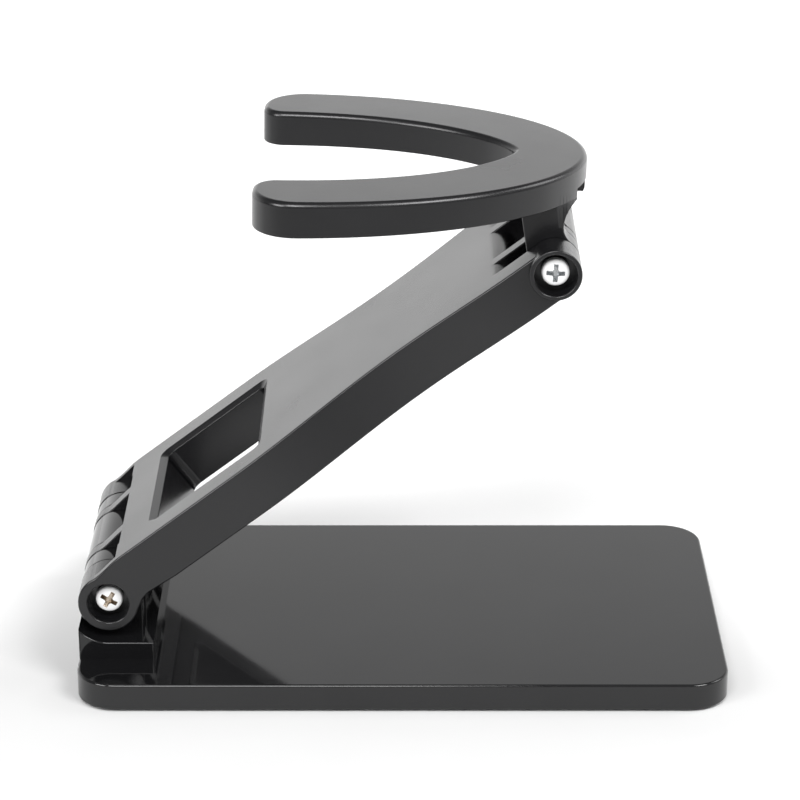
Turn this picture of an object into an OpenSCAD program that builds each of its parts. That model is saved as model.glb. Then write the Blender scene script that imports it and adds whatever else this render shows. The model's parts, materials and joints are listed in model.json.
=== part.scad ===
// Foldable stand for a phone: a flat base, a sloping arm and a U-shaped holder plate.
// The arm turns on the base and the holder turns on the arm, each on a pair of screws.
// Millimetres. +X runs along the base away from its hinge, +Z is up, the part is
// symmetric about Y = 0, and the origin is at the middle of the underside of the feet.

/* [Base] */
// Length of the base plate
base_w = 120; // [110:1:140]
// Depth of the base plate, front to rear
base_d = 71; // [66:1:90]
// Thickness of the base plate
base_t = 5; // [4.6:0.1:7]
// Radius of the base plate's corners
corner_r = 7.5; // [4:0.5:8]
// How far the feet stand below the plate
foot_proud = 0.5; // [0.3:0.1:1]
// Length of the hinge block on the base
block_w = 13.8; // [13:0.1:16]
// Depth of the hinge block, front to rear
block_d = 49.6; // [46.8:0.1:50]
// Height of the hinge block above the plate
block_h = 3.3; // [2.5:0.1:3.5]

/* [Arm] */
// Slope of the arm above the base
arm_angle = 37.4; // [30:0.1:50]
// Distance between the two hinge axes along the arm
arm_len = 103.7; // [100:0.1:120]
// Thickness of the arm
arm_t = 9.3; // [9:0.1:9.4]
// Half width of the arm at its lower end
arm_half_low = 23.2; // [23:0.1:23.6]
// Half width of the arm at its waist
arm_half_waist = 19.2; // [18.5:0.1:21]
// Half width of the arm at its upper end
arm_half_high = 21.6; // [21:0.1:22.4]
// Length of the window through the arm
window_l = 23.7; // [18:0.1:26]
// Width of the window through the arm
window_w = 31.6; // [26:0.1:32]

/* [Holder] */
// Tilt of the holder plate, free ends up
holder_tilt = 1.2; // [0:0.1:10]
// Thickness of the holder plate above the hinge
plate_t = 5.8; // [5.6:0.1:7]
// Slope of the plate's underside to its top, thicker at the free ends
plate_taper = 0.75; // [0:0.05:1]
// Length of the U, free ends to closed end
u_length = 59.75; // [54:0.05:66]
// Half width of the U outside
u_half = 34; // [32:0.1:35.5]
// Width of each leg of the U
leg_w = 13.8; // [12.8:0.1:15]
// Height of the plate's underside above the hinge axis
plate_rise = 10.35; // [10.35:0.05:14]

/* [Hinges] */
// Height of the lower hinge axis above the base plate
axis_rise = 10.5; // [10.5:0.1:13]
// Radius of the lower knuckles
knuckle_r = 5.6; // [5.2:0.1:5.6]
// Radius of the upper barrels
barrel_r = 4.7; // [4.7:0.1:5]
// Radius of the counterbore for each screw head
counterbore_r = 3.9; // [3:0.1:4]
// Side gap between neighbouring fingers
finger_gap = 0.2; // [0.1:0.05:0.3]

/* [Hidden] */

$fn = 64;
eps = 0.01;
past = 1;              // how far a cutter reaches past the face it opens
far = 100;             // reach of a cutter that clears everything on its side
skin = 2;              // top skin of every shell
lip = 1.2;             // wall left round each closing cover
wall = 2;              // side wall of every shell
fit = 0.15;            // clearance round each closing cover
rib_t = 1.6;           // inner ribs

// Hinge fingers: |Y| where one finger ends and the next begins
centre_edge = 7;
rib_edge = 10.4;
ear_edge = 15.6;
outer_edge = 23.2;
barrel_edge = 23;      // end face of the upper barrels
root_low = 6.8;        // start of the arm's lower slots, from the lower axis
root_high = 10.4;      // start of the arm's upper slots, back from the upper axis
root_roll = 3.5;       // radius on which the top face rolls down into them
notch_start = 0.3;     // notch beside each outer knuckle, from the lower axis
notch_floor = 3;       // and its lowest point
web_t = 3.35;          // outer knuckle left behind the counterbore
notch_side = 0.3;      // how far the notch stays clear of the slots' roots
side_skin = 1.7;       // outer knuckle's side wall, beside its notch
post_play = 0.1;       // how much smaller the base's knuckles are than the arm's
post_flat = 0.4;       // flat on the knuckles' left side, below the axis

// Lower axis, and the arm's faces above and below it
axis_x = -base_w / 2 + knuckle_r;
plate_top = foot_proud + base_t;
axis_z = plate_top + axis_rise;
arm_top = 6.1;
arm_bottom = arm_t - arm_top;
upper_n = arm_top - arm_t / 2;

// Screws: M2.5 pan heads, seated on a split washer
screw_r = 1.25;
screw_len = 16;
head_r = 2.5;
head_h = 1.9;
head_round = 0.6;      // radius of the head's edge
recess_l = 3.5;        // cross recess: length and width of its arms, and depth
recess_w = 0.85;
recess_d = 1.1;
washer_t = 0.6;
washer_r = 2.2;
bore_r = 1.3;
insert_r = 1.8;
insert_len = 5;
head_gap = 0.05;       // play between washer and knuckle, so the hinge can turn
split_w = 0.3;         // split in each spring washer

// Covers and feet
cover_seat = 1;        // ledge that the arm's cover seats on at each end
cover_t = 1.5;
arm_cover_t = 1.5;
holder_cover_t = 1.3;
foot_r = 5;
foot_t = 1.2;
foot_x = 49;
foot_y = 25;
long_rib_y = 12;       // ribs inside the base
cross_rib_x = [-30, 0, 30];
block_inset = 0.05;    // how far the hinge block stands in from the plate's end
core_y = [9.15, 19.5]; // cores up into the hinge block, and their width
core_w = 3;

// Window: its lower edge, from the lower axis
window_s = 15.2;
window_r = 1.5;

// Arm's hollow and the ribs across it, from the lower axis
cavity_s0 = 11;
cavity_s1 = arm_len - root_high - wall;
arm_rib_s = [50, 61, 72, 83];

// Arm's side outline: where the S-curve on top starts and ends, and how far it starts
// below the knuckle's top
curve_s0 = 1;
curve_s1 = 7.5;
curve_drop = 0.15;
// Its underside beside the knuckle: places along the arm, each with its height above the flat
under_knuckle = [[13.5, 0], [10.3, 0.22], [7.3, 0.4], [5.8, 0.1], [4.7, -0.5], [3.6, -1.1]];

// Waist of the arm: where it starts, is narrowest, and ends, from the lower axis
waist_start = 34;
waist_mid = 71;
waist_end = 100;

// Holder: outline of the U, measured from its free ends
back_w = 13.3;         // width of the U at its closed end
in_len = u_length - back_w;
in_half = u_half - leg_w;
in_bulge = 2.4;        // inner outline: how long its legs stay straight
in_nose = 0.69;        // and how narrow its closed end is
out_mid = 6.65;        // middle of the outer outline's ellipse
tip_out = 8;           // radius of each free end's outer corner
tip_in = 4.2;          // and of its inner corner
u_steps = 40;
tip_steps = 10;

// Holder: closed end and neck, measured from the upper axis
rim_x = 6.1;
tip_x = rim_x - u_length;
back_x = 4;            // flat at the closed end, below the rim
rim_t = 4.2;           // thickness of the rim past that flat
rib_play = 0.4;        // room round the arm's ribs
lug_half = 3;          // half width of the lug under the closed end
lug_drop = 1;          // how far it reaches below the plate
lug_x = 5.75;          // its outer face, with a bevelled lower corner
lug_bevel = [0.25, 0.8];
lug_top = 4;
hollow_end = -9;       // where the hollows of the two legs end, short of the neck
neck_left = 6.1;
neck_taper = 2;        // height over which the neck's left face meets the barrel, below the plate
neck_square = [17, 13.5]; // lower neck, which is full width: length and height
neck_corner = [-12, -8];  // and its lower left corner
waist_x = 1.45;        // thinnest point of the neck, in a cove that runs into the barrel
cove_z = 6.6;
cove_r = (cove_z * cove_z + waist_x * waist_x - barrel_r * barrel_r) / (2 * (barrel_r - waist_x));
cove_x = waist_x + cove_r;

// Places ------------------------------------------------------------------------------

// Into the arm's own frame: +X along the arm, +Z out of its top face, origin on the lower axis
module in_arm() translate([axis_x, 0, axis_z]) rotate([0, -arm_angle, 0]) children();

upper_x = axis_x + arm_len * cos(arm_angle) - upper_n * sin(arm_angle);
upper_z = axis_z + arm_len * sin(arm_angle) + upper_n * cos(arm_angle);

// Into the holder's own frame: plate level, origin on the upper axis
module in_holder() translate([upper_x, 0, upper_z]) rotate([0, holder_tilt, 0]) children();

// A side outline in X and Z, from y0 to y1
module side(y0, y1) translate([0, y1, 0]) rotate([90, 0, 0]) linear_extrude(y1 - y0) children();

// The same on both sides of the middle
module both_sides(y0, y1) {
  side(y0, y1) children();
  side(-y1, -y0) children();
}

// A cylinder along Y
module y_rod(r, y0, y1) side(y0, y1) circle(r);

// The same on both sides of the middle
module y_rods(r, y0, y1) {
  y_rod(r, y0, y1);
  y_rod(r, -y1, -y0);
}

half_gap = finger_gap / 2;

// Fingers of the turning-through piece: the centre knuckle and two ears
module inner_fingers() {
  side(-centre_edge + half_gap, centre_edge - half_gap) children();
  both_sides(rib_edge + half_gap, ear_edge - half_gap) children();
}

// Slots for those fingers
module finger_slots() {
  side(-centre_edge - half_gap, centre_edge + half_gap) children();
  both_sides(rib_edge - half_gap, ear_edge + half_gap) children();
}

// Bores of the inner fingers: clearance through the ears, insert pockets in the centre
module inner_bores() {
  y_rods(bore_r, rib_edge, ear_edge);
  y_rods(insert_r, centre_edge - half_gap - insert_len, centre_edge);
}

// Bores of the outer fingers, with a counterbore for the head
module outer_bores(face) {
  y_rods(bore_r, centre_edge, face);
  y_rods(counterbore_r, ear_edge + half_gap + web_t, face + past);
}

// Base --------------------------------------------------------------------------------

module rounded_plate(w, d, r, h) {
  linear_extrude(h) {
    square([w - 2 * r, d], center = true);
    square([w, d - 2 * r], center = true);
    for (x = [-1, 1], y = [-1, 1]) translate([x * (w / 2 - r), y * (d / 2 - r)]) circle(r);
  }
}

block_x0 = -base_w / 2 + block_inset;
saddle_r = axis_rise - block_h;

// Block with a saddle that follows the knuckles at its open end
module block_outline() {
  rise = axis_rise - sqrt(saddle_r * saddle_r - (axis_x - block_x0) * (axis_x - block_x0));
  difference() {
    union() {
      translate([block_x0, plate_top - eps]) square([block_w, block_h + eps]);
      translate([block_x0, plate_top]) square([axis_x - block_x0, rise]);
    }
    translate([axis_x, axis_z]) circle(saddle_r);
  }
}

module knuckle_post() {
  r = knuckle_r - post_play;
  translate([axis_x, axis_z]) circle(r);
  translate([axis_x - r + post_flat, plate_top]) square([2 * r - post_flat, axis_rise]);
}

module base_ribs() {
  z0 = foot_proud + cover_t;
  rib_h = base_t - cover_t - skin;
  for (x = cross_rib_x) translate([x - rib_t / 2, -base_d / 2 + wall, z0])
    cube([rib_t, base_d - 2 * wall, rib_h]);
  for (turn = [-1, 1]) translate([-base_w / 2 + block_w + wall, turn * long_rib_y - rib_t / 2, z0])
    cube([base_w - block_w - 2 * wall, rib_t, rib_h]);
}

module base_shell() color([0.09, 0.09, 0.1]) {
  difference() {
    union() {
      translate([0, 0, foot_proud]) rounded_plate(base_w, base_d, corner_r, base_t);
      side(-block_d / 2, block_d / 2) block_outline();
      inner_fingers() knuckle_post();
    }
    translate([0, 0, foot_proud - past])
      rounded_plate(base_w - 2 * wall, base_d - 2 * wall, corner_r - wall, base_t - skin + past);
    // cores up into the block, on each side of the centre knuckle and the ears
    for (turn = [-1, 1], y = core_y) translate([block_x0 + wall, turn * y - core_w / 2, foot_proud])
      cube([block_w - 2 * wall, core_w, base_t + block_h - skin]);
    translate([axis_x, 0, axis_z]) inner_bores();
  }
  base_ribs();
}

module base_bottom_cover() color([0.1, 0.1, 0.11]) {
  margin = wall + fit;
  difference() {
    translate([0, 0, foot_proud])
      rounded_plate(base_w - 2 * margin, base_d - 2 * margin, corner_r - margin, cover_t);
    for (x = [-1, 1], y = [-1, 1]) translate([x * foot_x, y * foot_y, -past])
      cylinder(r = foot_r, h = past + foot_t);
  }
}

module foot(x, y) color([0.15, 0.15, 0.15])
  translate([x * foot_x, y * foot_y, 0]) cylinder(r = foot_r, h = foot_t);

// Arm ---------------------------------------------------------------------------------

function ease(t) = (1 - cos(180 * min(1, max(0, t)))) / 2;

function arm_half(s) = s < waist_mid
  ? arm_half_low - (arm_half_low - arm_half_waist) * ease((s - waist_start) / (waist_mid - waist_start))
  : arm_half_waist + (arm_half_high - arm_half_waist) * ease((s - waist_mid) / (waist_end - waist_mid));

// Plan of the arm between s0 and s1, drawn in by inset
module arm_plan(s0, s1, inset = 0) {
  steps = 24;
  w0 = max(s0, waist_start);
  w1 = min(s1, waist_end);
  waist = [for (i = [0 : steps]) w0 + (w1 - w0) * i / steps];
  rows = concat([s0], waist, [s1]);
  polygon(concat(
    [for (s = rows) [s, arm_half(s) - inset]],
    [for (i = [len(rows) - 1 : -1 : 0]) [rows[i], -arm_half(rows[i]) + inset]]
  ));
}

// Side outline of the arm: knuckle, S-curve on top, shallow hollow below, upper barrel
module arm_outline() {
  top_steps = 8;
  curve_low = knuckle_r - curve_drop;
  s_curve = [for (i = [0 : top_steps]) let (t = i / top_steps)
    [curve_s0 + (curve_s1 - curve_s0) * t, curve_low + (arm_top - curve_low) * ease(t)]];
  hollow = [for (p = under_knuckle) [p[0], p[1] - arm_bottom]];
  circle(knuckle_r);
  polygon(concat([[0, 0], [0, knuckle_r - eps]], s_curve,
    [[arm_len, arm_top], [arm_len, -arm_bottom]], hollow));
  translate([arm_len, upper_n]) circle(barrel_r);
}

module window_plan(grow = 0) {
  l = window_l + 2 * grow;
  w = window_w + 2 * grow;
  translate([window_s + window_l / 2, 0]) {
    square([l - 2 * window_r, w], center = true);
    square([l, w - 2 * window_r], center = true);
    for (x = [-1, 1], y = [-1, 1])
      translate([x * (l / 2 - window_r), y * (w / 2 - window_r)]) circle(window_r);
  }
}

// Hollow of the arm: open below, with ribs across it
module arm_hollow_plan() {
  difference() {
    arm_plan(cavity_s0, cavity_s1, wall);
    window_plan(wall);
    for (s = arm_rib_s) translate([s - rib_t / 2, -arm_half_low]) square([rib_t, 2 * arm_half_low]);
  }
}

module arm_cover_plan(grow = 0) {
  difference() {
    arm_plan(cavity_s0 - cover_seat - grow, cavity_s1 + cover_seat + grow, lip - grow);
    window_plan(lip - grow);
  }
}

module arm_shell() color([0.12, 0.12, 0.125]) in_arm()
  difference() {
    union() {
      intersection() {
        side(-arm_half_low, arm_half_low) arm_outline();
        translate([0, 0, -far]) linear_extrude(2 * far) arm_plan(-2 * knuckle_r, arm_len + 2 * knuckle_r);
      }
      translate([arm_len, 0, upper_n]) y_rods(barrel_r, ear_edge + half_gap, barrel_edge);
    }
    // slots for the base's knuckles and for the holder's
    finger_slots() translate([-far, -far]) square([far + root_low, 2 * far]);
    finger_slots() translate([arm_len - root_high, arm_top - root_roll]) {
      translate([root_roll, -far]) square([far, 2 * far]);
      difference() {
        square([2 * root_roll, far]);
        circle(root_roll);
      }
    }
    // notch between each outer knuckle and the arm's top face
    both_sides(ear_edge, arm_half_low - side_skin) difference() {
      translate([notch_start, notch_floor]) square([root_low - notch_side - notch_start, arm_top]);
      circle(knuckle_r - post_play / 2);
    }
    outer_bores(outer_edge);
    translate([arm_len, 0, upper_n]) outer_bores(barrel_edge);
    translate([0, 0, -far]) linear_extrude(2 * far) window_plan();
    translate([0, 0, -far]) linear_extrude(far + arm_top - skin) arm_hollow_plan();
    translate([0, 0, -far]) linear_extrude(far - arm_bottom + arm_cover_t) arm_cover_plan(fit);
  }

module arm_underside_cover() color([0.13, 0.13, 0.135]) in_arm()
  intersection() {
    translate([0, 0, -arm_bottom]) linear_extrude(arm_cover_t) arm_cover_plan();
    side(-arm_half_low, arm_half_low) arm_outline();
  }

// Holder ------------------------------------------------------------------------------

// Half widths of the U outside and inside, at x from its free ends
function u_out(x, inset) = (u_half - inset)
  * sqrt(max(0, 1 - pow(max(0, x - out_mid) / (u_length - inset - out_mid), 2)));
function u_in(x, inset) = (in_half + inset)
  * pow(max(0, 1 - pow(x / (in_len + inset), in_bulge)), in_nose);

// Its outline on one side: closed end, free end, and back to the inner closed end
function u_side(inset) = let (out_end = u_length - inset, in_end = in_len + inset,
    r_out = tip_out - inset, r_in = tip_in - inset) concat(
  [for (i = [u_steps : -1 : 0]) let (x = tip_out + (out_end - tip_out) * sin(90 * i / u_steps))
    [x, u_out(x, inset)]],
  [for (i = [1 : tip_steps]) let (a = 90 + 90 * i / tip_steps)
    [tip_out + r_out * cos(a), u_out(tip_out, inset) - r_out + r_out * sin(a)]],
  [for (i = [0 : tip_steps]) let (a = 180 + 90 * i / tip_steps)
    [tip_in + r_in * cos(a), u_in(tip_in, inset) + r_in + r_in * sin(a)]],
  [for (i = [1 : u_steps]) let (x = tip_in + (in_end - tip_in) * sin(90 * i / u_steps))
    [x, u_in(x, inset)]]
);

// Plan of the U, drawn in by inset
module u_plan(inset = 0) {
  half = u_side(inset);
  translate([tip_x, 0]) polygon(concat(half, [for (i = [len(half) - 2 : -1 : 1]) [half[i][0], -half[i][1]]]));
}

// Its outer outline alone, without the gap
module u_outside() {
  half = [for (p = u_side(0)) if (p[1] > in_half + tip_in || p[0] > in_len) p];
  translate([tip_x, 0]) polygon(concat(half, [for (i = [len(half) - 1 : -1 : 1]) [half[i][0], -half[i][1]]]));
}

// Into the frame of the plate's underside
module in_underside() translate([0, 0, plate_rise]) rotate([0, -plate_taper, 0]) children();

// Hollow of the U: both legs, ending short of the neck
module u_hollow_plan(inset) {
  intersection() {
    u_plan(inset);
    translate([-far, -far]) square([far + hollow_end - inset + wall, 2 * far]);
  }
}

// Side outline of the neck, from the barrels up to the plate
module neck_outline() {
  difference() {
    polygon([[-barrel_r, 0], [-neck_left, plate_rise - neck_taper], [-neck_left, plate_rise + neck_taper],
      [back_x, plate_rise + neck_taper], [back_x, cove_z], [cove_x, cove_z], [0, 0]]);
    translate([cove_x, cove_z]) circle(cove_r);
  }
  circle(barrel_r);
}

// Space the neck keeps to, so that its top corners follow the rim of the plate
module neck_space() {
  hull() {
    translate([0, 0, plate_rise]) linear_extrude(eps) u_outside();
    translate([neck_corner[0], -ear_edge, neck_corner[1]])
      cube([neck_square[0], 2 * ear_edge, neck_square[1]]);
  }
  translate([0, 0, plate_rise]) linear_extrude(plate_t) u_outside();
}

module holder_shell() color([0.12, 0.12, 0.125]) in_holder()
  difference() {
    union() {
      difference() {
        translate([0, 0, plate_rise - past]) linear_extrude(plate_t + past) u_plan();
        in_underside() translate([-far, -far, -far]) cube([2 * far, 2 * far, far]);
        translate([back_x, -far, plate_rise - past]) cube([far, 2 * far, past + plate_t - rim_t]);
      }
      intersection() {
        side(-ear_edge + half_gap, ear_edge - half_gap) neck_outline();
        neck_space();
      }
      side(-lug_half, lug_half) polygon([[back_x - past, plate_rise - lug_drop],
        [lug_x - lug_bevel[0], plate_rise - lug_drop], [lug_x, plate_rise - lug_drop + lug_bevel[1]],
        [lug_x, plate_rise + plate_t - rim_t + past], [back_x - past, plate_rise + lug_top]]);
    }
    // slots for the arm's ribs, open to the left so that the holder folds down
    both_sides(centre_edge - half_gap, rib_edge + half_gap) {
      circle(barrel_r + rib_play);
      translate([-far, -far]) square([far, far + barrel_r + rib_play]);
    }
    inner_bores();
    in_underside() translate([0, 0, -past]) linear_extrude(past + plate_t - skin) u_hollow_plan(wall);
    in_underside() translate([0, 0, -past]) linear_extrude(past + holder_cover_t) u_hollow_plan(lip - fit);
  }

// Closing cover under one leg of the U
module holder_cover(front) color([0.13, 0.13, 0.135]) in_holder()
  in_underside() linear_extrude(holder_cover_t) intersection() {
    u_hollow_plan(lip);
    translate([-far, front ? -far : 0]) square([2 * far, far]);
  }

// Hinge hardware: drawn for the rear, and turned over for the front ---------------------

washer_y = ear_edge + half_gap + web_t + head_gap;
head_y = washer_y + washer_t;

module screw(turn) color([0.75, 0.74, 0.72]) rotate([0, turn, 0])
  difference() {
    rotate([-90, 0, 0]) rotate_extrude() polygon(concat(
      [[0, head_y - screw_len], [screw_r, head_y - screw_len], [screw_r, head_y], [head_r, head_y]],
      [for (t = [0 : 15 : 90])
        [head_r - head_round + head_round * cos(t), head_y + head_h - head_round + head_round * sin(t)]],
      [[0, head_y + head_h]]
    ));
    for (t = [0, 90]) rotate([0, t, 0])
      translate([-recess_l / 2, head_y + head_h - recess_d, -recess_w / 2]) cube([recess_l, 2, recess_w]);
  }

module spring_washer() color([0.6, 0.6, 0.6])
  difference() {
    y_rod(washer_r, washer_y, washer_y + washer_t);
    y_rod(bore_r, washer_y - past, head_y + past);
    translate([0, washer_y - past, -split_w / 2]) cube([washer_r + past, washer_t + 2 * past, split_w]);
  }

module thread_insert() color([0.8, 0.65, 0.3])
  difference() {
    y_rod(insert_r, centre_edge - half_gap - insert_len, centre_edge - half_gap);
    y_rod(screw_r, 0, centre_edge + past);
  }

module at_lower(front) translate([axis_x, 0, axis_z]) mirror([0, front ? 1 : 0, 0]) children();

module at_upper(front) translate([upper_x, 0, upper_z]) mirror([0, front ? 1 : 0, 0]) children();

base_shell();
base_bottom_cover();
foot(-1, -1);  // foot_front_left
foot(1, -1);  // foot_front_right
foot(-1, 1);  // foot_rear_left
foot(1, 1);  // foot_rear_right
arm_shell();
arm_underside_cover();
holder_shell();
holder_cover(true);  // holder_cover_front
holder_cover(false);  // holder_cover_rear
at_lower(true) screw(30);  // lower_screw_front
at_lower(false) screw(12);  // lower_screw_rear
at_lower(true) spring_washer();  // lower_spring_washer_front
at_lower(false) spring_washer();  // lower_spring_washer_rear
at_lower(true) thread_insert();  // lower_thread_insert_front
at_lower(false) thread_insert();  // lower_thread_insert_rear
at_upper(true) screw(3);  // upper_screw_front
at_upper(false) screw(55);  // upper_screw_rear
at_upper(true) spring_washer();  // upper_spring_washer_front
at_upper(false) spring_washer();  // upper_spring_washer_rear
at_upper(true) thread_insert();  // upper_thread_insert_front
at_upper(false) thread_insert();  // upper_thread_insert_rear
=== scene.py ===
"""The looks of a foldable phone stand: a glossy base plate, a sloping arm and a U-shaped holder plate.

Each moulding is lofted from the outlines below, at its CAD size and with rounded edges, then cut and joined.
The screws, washers, inserts and feet are made again in finer detail. Lengths are millimetres, apart from the
studio's, and new_piece() turns them into metres.
"""

import json
import math

import bmesh
import bpy
from mathutils import Matrix, Vector


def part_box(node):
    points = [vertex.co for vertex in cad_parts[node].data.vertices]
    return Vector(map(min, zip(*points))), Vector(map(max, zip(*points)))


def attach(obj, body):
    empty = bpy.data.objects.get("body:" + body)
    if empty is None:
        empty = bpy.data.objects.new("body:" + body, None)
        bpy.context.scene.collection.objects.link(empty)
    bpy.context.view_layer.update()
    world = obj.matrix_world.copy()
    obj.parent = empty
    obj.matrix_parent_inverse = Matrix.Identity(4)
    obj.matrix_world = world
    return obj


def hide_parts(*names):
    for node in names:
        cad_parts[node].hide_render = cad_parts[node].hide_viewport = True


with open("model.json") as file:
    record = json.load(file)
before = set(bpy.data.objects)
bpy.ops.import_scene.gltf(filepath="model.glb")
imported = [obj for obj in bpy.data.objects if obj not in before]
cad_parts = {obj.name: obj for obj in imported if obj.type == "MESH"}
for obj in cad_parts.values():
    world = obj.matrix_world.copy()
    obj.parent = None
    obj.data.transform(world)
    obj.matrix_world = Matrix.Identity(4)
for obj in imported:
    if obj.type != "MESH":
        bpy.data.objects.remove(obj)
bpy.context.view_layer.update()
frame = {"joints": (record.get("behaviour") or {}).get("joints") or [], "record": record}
AXES = {joint["name"]: Vector(joint["pos_m"]) * 1000 for joint in frame["joints"]}
TO_METRES = Matrix.Scale(0.001, 4)

# How far a cutter goes past a face, and how far one shape goes into the next
PAST = 1
OVERLAP = 0.5

SMALL_EDGE = 0.25  # rounding of most edges

# The arm's and the holder's own frames, with their origins on the lower and the upper axis
ARM_SLOPE = 37.4
HOLDER_SLOPE = 1.2
LEVEL = Matrix.Identity(4)
ARM_FRAME = Matrix.Translation(AXES["arm_fold"]) @ Matrix.Rotation(math.radians(-ARM_SLOPE), 4, "Y")
HOLDER_FRAME = Matrix.Translation(AXES["holder_tilt"]) @ Matrix.Rotation(math.radians(HOLDER_SLOPE), 4, "Y")

# Hinge fingers: |Y| where one ends and the next begins, and the gap between them
CENTRE_EDGE = 7
RIB_EDGE = 10.4
EAR_EDGE = 15.6
OUTER_EDGE = 23.2
BARREL_EDGE = 23
HALF_GAP = 0.1
WEB_T = 3.35
BORE_R = 1.3
INSERT_R = 1.8
INSERT_LEN = 5
COUNTERBORE_R = 3.9
KNUCKLE_R = 5.6
BARREL_R = 4.7

# Base
BASE_W = 120
BASE_D = 71
BASE_LOW = 0.5
BASE_TOP = 5.5
BASE_CORNER = 7.5
BASE_EDGE = 0.45
BLOCK_X0 = -59.95
BLOCK_W = 13.8
BLOCK_D = 49.6
BLOCK_TOP = 8.8
BLOCK_SUNK = 1  # how far the block reaches down into the plate
POST_R = 5.5
POST_LEFT = 5.1
WALL = 2
COVER_T = 1.5
COVER_EDGE = 0.05
COVER_LIP = 1.2  # wall left beside the arm's and the holder's covers
FIT = 0.15
FOOT_X = 49
FOOT_Y = 25
FOOT_R = 5
FOOT_T = 1.2
FOOT_EDGE = 0.4
FOOT_PLAY = 0.1
# Underside of a foot, as pairs of radius and height, with its grooves
FOOT_FACE = ((0.6, 0.12), (1.6, 0.12), (1.8, 0), (2.8, 0), (3, 0.12), (3.4, 0.12), (3.6, 0))

# Arm, in its own frame: s along it, n out of its top face
ARM_LEN = 103.7
ARM_TOP = 6.1
ARM_LOW = -3.2
UPPER_N = 1.45
HALF_LOW = 23.2
HALF_WAIST = 19.2
HALF_HIGH = 21.6
WAIST = (34, 71, 100)
ARM_EDGE = 0.38
ROOT_LOW = 6.8
ROOT_HIGH = 10.4
ROOT_ROLL = 3.5
SIDE_SKIN = 1.7
FINGER_ROOT = 1.2  # how far a finger reaches back into the arm
EDGE_STRIP = 0.6  # strip by each side wall that is made again with a rounded edge
END_PAST = 20  # reach of the cutters past the arm's ends and out of the holder's slots
NOTCH_START = 0.3
NOTCH_END = 6.5
NOTCH_LOW = 0.8
NOTCH_HIGH = 10
NOTCH_TURN = 8
NOTCH_BITE = 0.05
KNUCKLE_TURN = 50  # degrees below the arm's line where its underside leaves the knuckle
S_CURVE = (1, 7.5)
CURVE_DROP = 0.15
HOLLOW = ((4.7, -3.7), (5.8, -3.1), (7.3, -2.8), (10.3, -2.98))
BEAM_START = 13.5
BEAM_STRAIGHT = (20, 27)
ARM_COVER_START = 10
ARM_COVER_BACK = 1
WINDOW = (15.2, 38.9)
WINDOW_HALF_W = 15.8
WINDOW_CORNER = 1.5
BEVEL_S = 1.4
BEVEL_Y = 1.05
BEVEL_DEEP = 0.75
# The window's cutter: heights from the arm's underside, the bevel's foot and the arm's top, each with the
# share of the bevel's width that it has there
WINDOW_LOW = ((-5, 0.18), (0, 0.18), (0.1, 0.06), (0.25, 0))
WINDOW_STEP = ((-0.3, 0), (-0.12, 0.03), (0, 0.12))
WINDOW_TOP = ((-0.08, 0.9), (0, 1), (3, 1.05))
GROOVE_Y = (12.9, 14.4)
GROOVE_DEEP = 2
GROOVE_ROOF = 1

# Holder, in its own frame: the U is measured from its free ends
PLATE_RISE = 10.35
PLATE_TOP = 16.15
PLATE_TAPER = math.radians(0.75)
PLATE_EDGE = 1.05
U_LENGTH = 59.75
U_HALF = 34
LEG_W = 13.8
BACK_W = 13.3
IN_BULGE = 2.4
IN_NOSE = 0.69
OUT_MID = 6.65
TIP_OUT = 8
TIP_IN = 4.2
RIM_X = 6.1
RIM_T = 4.2
BACK_X = 4
NECK_LEFT = 6.1
NECK_TOP = 12.35
NECK_SHOULDER = 8.35
NECK_SQUARE = 5.5
WAIST_X = 1.45
COVE_Z = 6.6
RIB_PLAY = 0.4
LUG = ((3, 9.35), (5.5, 9.35), (5.75, 10.15), (5.75, 12.95), (3, 14.35))
LUG_HALF = 3
HOLDER_COVER_T = 1.3
COVER_END = -8.2
NECK_RIGHT = 5
NECK_BEND = -4
NECK_LEFT_ROWS = (-14, -10, -6)
NECK_BOTTOM = -9
LUG_EDGE = 0.15
# Reach of the cutters past the plate, along X, Y and Z
PAST_X = 40
PAST_Y = 60
PAST_Z = 30

# Screws: M2.5 with a cross recess
SCREW_R = 1.25
THREAD_DEPTH = 0.22
THREAD_PITCH = 0.45
THREAD_LENGTH = 11
HEAD_R = 2.5
HEAD_H = 1.9
HEAD_ROUND = 0.55
HEAD_CROWN = 0.25
RECESS_L = 3.5
RECESS_W = 0.85
RECESS_DEEP = 1.15
SHANK_R = 1.2
HEAD_UNDER = 0.1
HEAD_TURN = 72
HEAD_STEPS = 6
SHANK_RISE = 0.2

# Split washer and insert
WASHER_EDGE = 0.06
WASHER_SLIT = ((-0.15, 0.5), (0.15, 0.5), (0.35, 4), (0.05, 4))
KNURLS = 24
KNURL_DEEP = 0.12
KNURL_END = 0.2
INSERT_GROOVE = (0.4, 0.5)

# Mesh tools ---------------------------------------------------------------------------------


def new_piece(name, bm, matrix=Matrix.Identity(4)):
    """An object made from bm, whose points are millimetres in matrix's frame."""
    bm.transform(TO_METRES @ matrix)
    bmesh.ops.recalc_face_normals(bm, faces=bm.faces)
    mesh = bpy.data.meshes.new(name)
    bm.to_mesh(mesh)
    bm.free()
    piece = bpy.data.objects.new(name, mesh)
    bpy.context.scene.collection.objects.link(piece)
    return piece


def apply_modifiers(piece):
    """Makes the piece's modifiers part of its mesh."""
    depsgraph = bpy.context.evaluated_depsgraph_get()
    mesh = bpy.data.meshes.new_from_object(piece.evaluated_get(depsgraph))
    piece.modifiers.clear()
    piece.data = mesh


def combine(piece, tool, operation):
    modifier = piece.modifiers.new("combine", "BOOLEAN")
    modifier.operation = operation
    modifier.solver = "MANIFOLD"
    modifier.object = tool
    apply_modifiers(piece)
    bpy.data.objects.remove(tool)


def cut(piece, tool):
    combine(piece, tool, "DIFFERENCE")


def join(piece, tool):
    combine(piece, tool, "UNION")


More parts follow.
